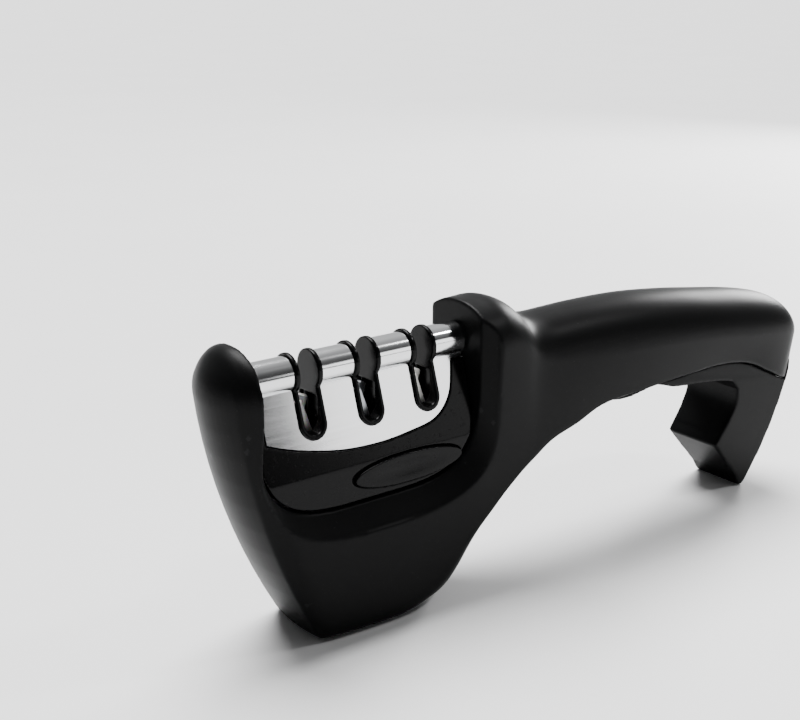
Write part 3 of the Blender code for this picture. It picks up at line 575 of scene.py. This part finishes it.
def screw_row(name, xs, head_z, tip_z, head_radius, head_height, look):
    """Screws in a row along X, heads down, each with a domed head, cross recess and threaded shank."""
    g = Grower(name + "_tree", Radius=head_radius * MM, Height=head_height * MM,
               Length=(tip_z - head_z) * MM, Shank=1.2 * MM)
    radius, height, length, shank = (g.inputs[label] for label in ("Radius", "Height", "Length", "Shank"))
    half_height, half_length = g.scaled(height, 0.5), g.scaled(length, 0.5)
    barrel = g.node("GeometryNodeMeshCylinder", Vertices=40, Radius=g.scaled(radius, 0.97), Depth=height)[0]
    drop = g.vector(z=g.scaled(half_height, -1))
    barrel = g.node("GeometryNodeTransform", Geometry=barrel, Translation=drop)[0]
    ball = g.node("GeometryNodeMeshUVSphere", Segments=40, Rings=24, Radius=g.scaled(radius, 1.35))[0]
    ball = g.node("GeometryNodeTransform", Geometry=ball,
                  Translation=g.vector(z=g.node("ShaderNodeMath", {"operation": "SUBTRACT"},
                                                _0=g.scaled(radius, 1.35), _1=height)[0]))[0]
    head = g.node("GeometryNodeMeshBoolean", {"operation": "INTERSECT"}, Mesh_2=[barrel, ball])[0]
    stem = g.node("GeometryNodeMeshCylinder", Vertices=24, Radius=g.scaled(shank, 0.8), Depth=length)[0]
    stem = g.node("GeometryNodeTransform", Geometry=stem, Translation=g.vector(z=half_length))[0]
    rings = g.node("GeometryNodeMeshLine", Count=int((tip_z - head_z) / 0.75) - 1,
                   Start_Location=(0, 0, 0.6 * MM), Offset=(0, 0, 0.75 * MM))[0]
    ridge = g.node("GeometryNodeMeshCone", Vertices=24, Radius_Top=g.scaled(shank, 0.8), Radius_Bottom=shank,
                   Depth=0.55 * MM)[0]
    thread = g.node("GeometryNodeInstanceOnPoints", Points=rings, Instance=ridge)[0]
    wings = [g.node("GeometryNodeMeshCube", Size=size)[0] for size in
             ((2.8 * MM, 0.55 * MM, 1.9 * MM), (0.55 * MM, 2.8 * MM, 1.9 * MM))]
    low = g.vector(z=g.scaled(height, -1))
    wings = [g.node("GeometryNodeTransform", Geometry=wing, Translation=low)[0] for wing in wings]
    head = g.node("GeometryNodeMeshBoolean", {"operation": "DIFFERENCE"}, Mesh_1=head, Mesh_2=wings)[0]
    screw = g.node("GeometryNodeJoinGeometry", Geometry=[head, stem, thread])[0]
    points = g.node("GeometryNodeMeshLine", Count=len(xs),
                    Start_Location=(DRAWN_ZERO + xs[0] * MM, 0, head_z * MM),
                    Offset=((xs[1] - xs[0]) * MM, 0, 0))[0]
    return g.grow(name, g.node("GeometryNodeInstanceOnPoints", Points=points, Instance=screw)[0], look)


def pad_springs(look):
    """The two coils behind the thumb pads."""
    near, far = 2.9 + 0.25, PAD_Y[0] - PAD_TRAVEL - 0.3 - 0.25
    g = Grower("coil_tree", Turns=4.0, Radius=1.3 * MM, Wire=0.24 * MM, Height=(far - near) * MM)
    coil = g.node("GeometryNodeCurveSpiral", Resolution=32, Rotations=g.inputs["Turns"],
                  Start_Radius=g.inputs["Radius"], End_Radius=g.inputs["Radius"],
                  Height=g.inputs["Height"])[0]
    wire = g.node("GeometryNodeCurvePrimitiveCircle", Resolution=12, Radius=g.inputs["Wire"])[0]
    coil = g.node("GeometryNodeCurveToMesh", Curve=coil, Profile_Curve=wire, Fill_Caps=True)[0]
    x, z = DRAWN_ZERO + PAD_CENTRE[0] * MM, PAD_CENTRE[1] * MM
    both = [g.node("GeometryNodeTransform", Geometry=coil, Translation=(x, side * near * MM, z),
                   Rotation=(-side * math.pi / 2, 0, 0))[0] for side in (-1, 1)]
    return g.grow("pad_springs", g.node("GeometryNodeJoinGeometry", Geometry=both)[0], look)


def grip_ribs(look):
    """Rounded ribs moulded across the underside of the base pad."""
    g = Grower("rib_tree", Width=11.0 * MM, Pitch=3.0 * MM, Radius=0.5 * MM)
    line = g.node("GeometryNodeMeshLine", Count=11, Start_Location=(DRAWN_ZERO - 70.0 * MM, 0, 0.505 * MM),
                  Offset=g.vector(x=g.inputs["Pitch"]))[0]
    rib = g.node("GeometryNodeMeshCylinder", Vertices=20, Side_Segments=8, Radius=g.inputs["Radius"],
                 Depth=g.inputs["Width"])[0]
    rib = g.node("GeometryNodeTransform", Geometry=rib, Rotation=(math.pi / 2, 0, 0))[0]
    ribs = g.node("GeometryNodeInstanceOnPoints", Points=line, Instance=rib)[0]
    return g.grow("grip_ribs", ribs, look)


# ---------------------------------------------------------------- shader kit

class Value:
    """A socket that takes part in Python arithmetic."""

    def __init__(self, paint, socket):
        self.paint, self.socket = paint, socket

    def _math(self, operation, a, b=0.0):
        return self.paint.node("ShaderNodeMath", {"operation": operation}, _0=a, _1=b)

    def __add__(self, other):
        return self._math("ADD", self, other)

    __radd__ = __add__

    def __mul__(self, other):
        return self._math("MULTIPLY", self, other)

    __rmul__ = __mul__

    def __sub__(self, other):
        return self._math("SUBTRACT", self, other)

    def __rsub__(self, other):
        return self._math("SUBTRACT", other, self)

    def __pow__(self, other):
        return self._math("POWER", self, other)

    def clamped(self, low=0.0, high=1.0):
        return self.paint.node("ShaderNodeClamp", Value=self, Min=low, Max=high)


class Paint:
    """A material built from node expressions on Object coordinates."""

    def __init__(self, name):
        self.material = bpy.data.materials.new(name)
        self.material.use_nodes = True
        self.nodes = self.material.node_tree.nodes
        self.links = self.material.node_tree.links
        self.shader = self.nodes["Principled BSDF"]
        self.place = self.node("ShaderNodeTexCoord", out="Object")

    def node(self, kind, settings=None, out=0, **values):
        made = self.nodes.new(kind)
        for key, value in (settings or {}).items():
            if key == "stops":
                for element, (position, shade) in zip(made.color_ramp.elements, value):
                    element.position, element.color = position, (shade, shade, shade, 1.0)
            else:
                setattr(made, key, value)
        for key, value in values.items():
            socket = made.inputs[int(key[1:])] if key[0] == "_" else made.inputs[key.replace("_", " ")]
            self.feed(socket, value)
        return Value(self, made.outputs[out])

    def feed(self, socket, value):
        if isinstance(value, Value):
            self.links.new(value.socket, socket)
        else:
            socket.default_value = value

    def noise(self, scale, detail=3.0, stretch=(1, 1, 1)):
        at = self.node("ShaderNodeMapping", Vector=self.place, Scale=stretch)
        return self.node("ShaderNodeTexNoise", Vector=at, Scale=scale, Detail=detail, Roughness=0.55)

    def ramp(self, value, low, high):
        return self.node("ShaderNodeValToRGB", {"stops": ((low, 0.0), (high, 1.0))}, Fac=value)

    def mix(self, factor, first, second):
        return self.node("ShaderNodeMix", {"data_type": "RGBA"}, out=2, _0=factor, _6=first, _7=second)

    def bump(self, height, strength, distance, under=None):
        extra = {"Normal": under} if under else {}
        return self.node("ShaderNodeBump", Height=height, Strength=strength, Distance=distance, **extra)

    def worn(self, low=0.52, high=0.62):
        """1 along sharp outer edges, 0 elsewhere."""
        return self.ramp(self.node("ShaderNodeNewGeometry", out="Pointiness"), low, high)

    def done(self, **values):
        for key, value in values.items():
            self.feed(self.shader.inputs[key.replace("_", " ")], value)
        return self.material


def satin_black():
    """Moulded ABS with a spark-eroded grain, faint smears and slightly rubbed edges."""
    p = Paint("satin_black_abs")
    grain, mottle, smear = p.noise(2600, 4), p.noise(260, 3), p.noise(28, 4)
    edge = p.worn(0.515, 0.60)
    dust = p.ramp(p.noise(1600, 2), 0.68, 0.76)
    shade = (smear * 0.5 + mottle * 0.2).clamped()
    colour = p.mix(shade, (0.0018, 0.0019, 0.0020, 1), (0.0038, 0.0039, 0.0042, 1))
    colour = p.mix(edge * 0.35, colour, (0.020, 0.020, 0.021, 1))
    colour = p.mix(dust * 0.05, colour, (0.16, 0.16, 0.16, 1))
    rough = 0.31 + smear * 0.10 + grain * 0.06 - edge * 0.05
    return p.done(Base_Color=colour, Roughness=rough.clamped(), Specular_IOR_Level=0.07,
                  Normal=p.bump(grain, 0.16, 0.00006, p.bump(mottle, 0.06, 0.0001)))


def gloss_black():
    """Polished ABS with hairline scuffs."""
    p = Paint("gloss_black_abs")
    smear, scuff, fine = p.noise(45, 4), p.noise(900, 2, (1, 0.06, 1)), p.noise(2200, 3)
    lines = p.ramp(scuff, 0.60, 0.68)
    colour = p.mix(smear, (0.0014, 0.0014, 0.0015, 1), (0.0026, 0.0026, 0.0028, 1))
    rough = 0.13 + smear * 0.12 + lines * 0.10
    return p.done(Base_Color=colour, Roughness=rough.clamped(), Specular_IOR_Level=0.10,
                  Normal=p.bump(fine, 0.05, 0.00003))


def bright_steel():
    """Rolled stainless sheet, polished along its length, with fine draw lines."""
    p = Paint("bright_steel")
    drawn, long_lines, cloud = p.noise(1500, 3, (0.02, 1, 1)), p.noise(420, 2, (0.03, 1, 1)), p.noise(60, 3)
    colour = p.mix(cloud, (0.70, 0.705, 0.715, 1), (0.82, 0.825, 0.83, 1))
    rough = 0.06 + drawn * 0.08 + cloud * 0.06
    return p.done(Base_Color=colour, Metallic=1.0, Roughness=rough.clamped(),
                  Normal=p.bump(drawn + long_lines * 0.6, 0.10, 0.00003))


def grip_rubber():
    p = Paint("grip_rubber")
    pores, mottle, dust = p.noise(1900, 5), p.noise(220, 3), p.noise(60, 4)
    colour = p.mix(p.ramp(dust, 0.45, 0.75), (0.022, 0.022, 0.023, 1), (0.065, 0.063, 0.06, 1))
    return p.done(Base_Color=colour, Roughness=(0.62 + pores * 0.25).clamped(),
                  Normal=p.bump(pores + mottle * 0.5, 0.35, 0.00012))


def zinc_steel():
    p = Paint("zinc_plated_steel")
    spangle = p.node("ShaderNodeTexVoronoi", out=1, Vector=p.place, Scale=900.0)
    cloud, pits = p.noise(350, 3), p.noise(2500, 3)
    colour = p.mix(cloud, (0.50, 0.52, 0.56, 1), (0.66, 0.66, 0.64, 1))
    colour = p.mix(0.08, colour, spangle)
    return p.done(Base_Color=colour, Metallic=1.0, Roughness=(0.24 + cloud * 0.2).clamped(),
                  Normal=p.bump(pits, 0.15, 0.00004))


def grey_nylon():
    p = Paint("grey_nylon")
    grain, flow = p.noise(2100, 4), p.noise(120, 3, (1, 1, 0.3))
    colour = p.mix(flow, (0.23, 0.23, 0.235, 1), (0.30, 0.30, 0.30, 1))
    return p.done(Base_Color=colour, Roughness=(0.42 + grain * 0.18).clamped(),
                  Normal=p.bump(grain, 0.2, 0.00006))


def diamond_grit():
    """Steel coated with plated diamond particles."""
    p = Paint("diamond_grit")
    cells = p.node("ShaderNodeTexVoronoi", Vector=p.place, Scale=4200.0)
    tint = p.node("ShaderNodeTexVoronoi", out=1, Vector=p.place, Scale=4200.0)
    worn_line = p.noise(300, 3)
    colour = p.mix(0.25, p.mix(worn_line, (0.40, 0.40, 0.41, 1), (0.56, 0.55, 0.53, 1)), tint)
    return p.done(Base_Color=colour, Metallic=0.7, Roughness=(0.35 + cells * 0.5).clamped(),
                  Normal=p.bump(1 - cells, 0.8, 0.00012))


def ground_carbide():
    p = Paint("ground_carbide")
    marks, cloud = p.noise(1800, 2, (1, 1, 0.04)), p.noise(200, 3)
    colour = p.mix(cloud, (0.27, 0.28, 0.30, 1), (0.40, 0.41, 0.42, 1))
    return p.done(Base_Color=colour, Metallic=1.0, Roughness=(0.18 + marks * 0.22).clamped(),
                  Normal=p.bump(marks, 0.2, 0.00004))


def fired_ceramic():
    p = Paint("fired_ceramic")
    specks, body = p.noise(1500, 4), p.noise(90, 3)
    steel_marks = p.ramp(p.noise(500, 3, (1, 1, 0.3)), 0.62, 0.8)
    colour = p.mix(body, (0.80, 0.79, 0.75, 1), (0.88, 0.87, 0.84, 1))
    colour = p.mix(steel_marks * 0.4, colour, (0.34, 0.34, 0.35, 1))
    return p.done(Base_Color=colour, Roughness=(0.30 + specks * 0.15).clamped(),
                  Normal=p.bump(specks, 0.12, 0.00005))


def pale_table():
    p = Paint("pale_table")
    fibre, cloud = p.noise(600, 4), p.noise(9, 3)
    colour = p.mix(cloud, (0.84, 0.84, 0.845, 1), (0.90, 0.90, 0.90, 1))
    return p.done(Base_Color=colour, Roughness=(0.55 + fibre * 0.1).clamped(),
                  Normal=p.bump(fibre, 0.05, 0.0001))


# ---------------------------------------------------------------- assembly

def polish_cad_nodes(looks):
    """Better finishes for the CAD nodes that stay as they are."""
    finish = {
        "base_cover": "satin", "keeper_plate": "satin", "element_holder_coarse": "nylon",
        "element_holder_fine": "nylon", "element_holder_finishing": "nylon",
        "diamond_rod_near": "diamond", "diamond_rod_far": "diamond", "carbide_blade_near": "carbide",
        "carbide_blade_far": "carbide", "ceramic_rod_near": "ceramic", "ceramic_rod_far": "ceramic",
    }
    for node, look in finish.items():
        obj = frame["nodes"][node]
        obj.data.materials.clear()
        obj.data.materials.append(looks[look])


def base_grip(look):
    pad = plate("base_grip", base_outline(), 0.55, 2.0, "Z")
    mould(pad, grain=0.25, rounds=4, faces=60000)
    ribs = grip_ribs(look)
    for piece in (pad, ribs):
        fit(piece, "body", "grey_rubber", look, "base_pad")


def room_light():
    """A pale room that is bright behind the object and overhead and dim on the viewer's side."""
    world = bpy.data.worlds.new("room")
    bpy.context.scene.world = world
    world.use_nodes = True
    nodes, links = world.node_tree.nodes, world.node_tree.links
    way = nodes.new("ShaderNodeTexCoord")
    toward = nodes.new("ShaderNodeVectorMath")
    toward.operation = "DOT_PRODUCT"
    toward.inputs[1].default_value = (-0.62, -0.78, -0.35)
    ramp = nodes.new("ShaderNodeValToRGB")
    shades = ((0.04, 1.0), (0.30, 0.42), (0.55, 0.10), (0.75, 0.015))
    while len(ramp.color_ramp.elements) < len(shades):
        ramp.color_ramp.elements.new(0.5)
    for element, (place, shade) in zip(ramp.color_ramp.elements, shades):
        element.position = place
        element.color = (shade * 0.985, shade * 0.99, shade, 1.0)
    half = nodes.new("ShaderNodeMath")
    half.operation = "MULTIPLY_ADD"
    half.inputs[1].default_value, half.inputs[2].default_value = 0.5, 0.5
    links.new(way.outputs["Generated"], toward.inputs[0])
    links.new(toward.outputs["Value"], half.inputs[0])
    links.new(half.outputs[0], ramp.inputs["Fac"])
    links.new(ramp.outputs["Color"], nodes["Background"].inputs["Color"])
    nodes["Background"].inputs["Strength"].default_value = 0.7


def studio():
    """Pale floor, soft lights and the camera."""
    form = bmesh.new()
    bmesh.ops.create_grid(form, x_segments=1, y_segments=1, size=8.0)
    mesh = bpy.data.meshes.new("table_top")
    form.to_mesh(mesh)
    form.free()
    floor = bpy.data.objects.new("table_top", mesh)
    bpy.context.scene.collection.objects.link(floor)
    mesh.materials.append(pale_table())
    room_light()
    sun = bpy.data.lights.new("ceiling_panels", "SUN")
    sun.energy = 7.6
    sun.angle = math.radians(40)
    panels = bpy.data.objects.new("ceiling_panels", sun)
    bpy.context.scene.collection.objects.link(panels)
    panels.rotation_euler = Vector((-0.10, -0.40, -1.0)).to_track_quat("-Z", "Y").to_euler()
    lamp("heel_window", (0.88, 0.35, 0.30), (0.0, 0.0, 0.06), 0.25, 6.0)
    lamp("strip", (0.42, -0.24, 0.60), (-0.06, 0.0, 0.06), 0.05, 1.0)
    lamp("side_panel", (0.62, -0.86, 0.26), (-0.06, 0.0, 0.06), 0.34, 0.75)
    camera = bpy.data.objects.new("camera", bpy.data.cameras.new("camera"))
    bpy.context.scene.collection.objects.link(camera)
    camera.location = Vector(CAMERA_PLACE) + Vector((DRAWN_ZERO, 0.0, 0.0))
    camera.rotation_euler = [math.radians(turn) for turn in CAMERA_TURN]
    camera.data.lens = CAMERA_LENS
    camera.data.sensor_width = 36.0
    camera.data.clip_start = 0.01
    bpy.context.scene.camera = camera


def lamp(name, place, aim, size, power):
    light = bpy.data.lights.new(name, "AREA")
    light.shape = "DISK"
    light.size = size
    light.energy = power
    obj = bpy.data.objects.new(name, light)
    bpy.context.scene.collection.objects.link(obj)
    obj.location = place
    obj.rotation_euler = (Vector(aim) - Vector(place)).to_track_quat("-Z", "Y").to_euler()


def main():
    studio()
    satin, gloss = satin_black(), gloss_black()
    zinc = zinc_steel()
    handle_shell(satin)
    finger_insert(satin)
    base_grip(grip_rubber())
    steel_sleeve(bright_steel())
    cartridge_block(gloss)
    for name, x in SLOTS.items():
        slot_lip(name, x, gloss)
    for side, name in ((-1, "near"), (1, "far")):
        thumb_pad(side, name, gloss)
    insert_screws = screw_row("insert_screws", INSERT_SCREW_X, INSERT_HEAD_Z, 58.0, 2.4, 1.6, zinc)
    base_screws = screw_row("base_screws", BASE_SCREWS_X, 4.1, 14.0, 2.4, 1.4, zinc)
    keeper_screws = screw_row("keeper_screws", KEEPER_SCREW_X, 35.2, 46.4, 2.3, 1.2, zinc)
    fit(insert_screws, "body", "zinc_plate", zinc, "insert_screw_1", "insert_screw_2", "insert_screw_3")
    fit(base_screws, "body", "zinc_plate", zinc, "base_screw_1", "base_screw_2")
    fit(keeper_screws, "cartridge", "zinc_plate", zinc, "keeper_screw_1", "keeper_screw_2")
    fit(pad_springs(zinc), "cartridge", "zinc_plate", zinc, "pad_spring_near", "pad_spring_far")
    polish_cad_nodes(dict(satin=satin, nylon=grey_nylon(), diamond=diamond_grit(), carbide=ground_carbide(),
                          ceramic=fired_ceramic()))


main()
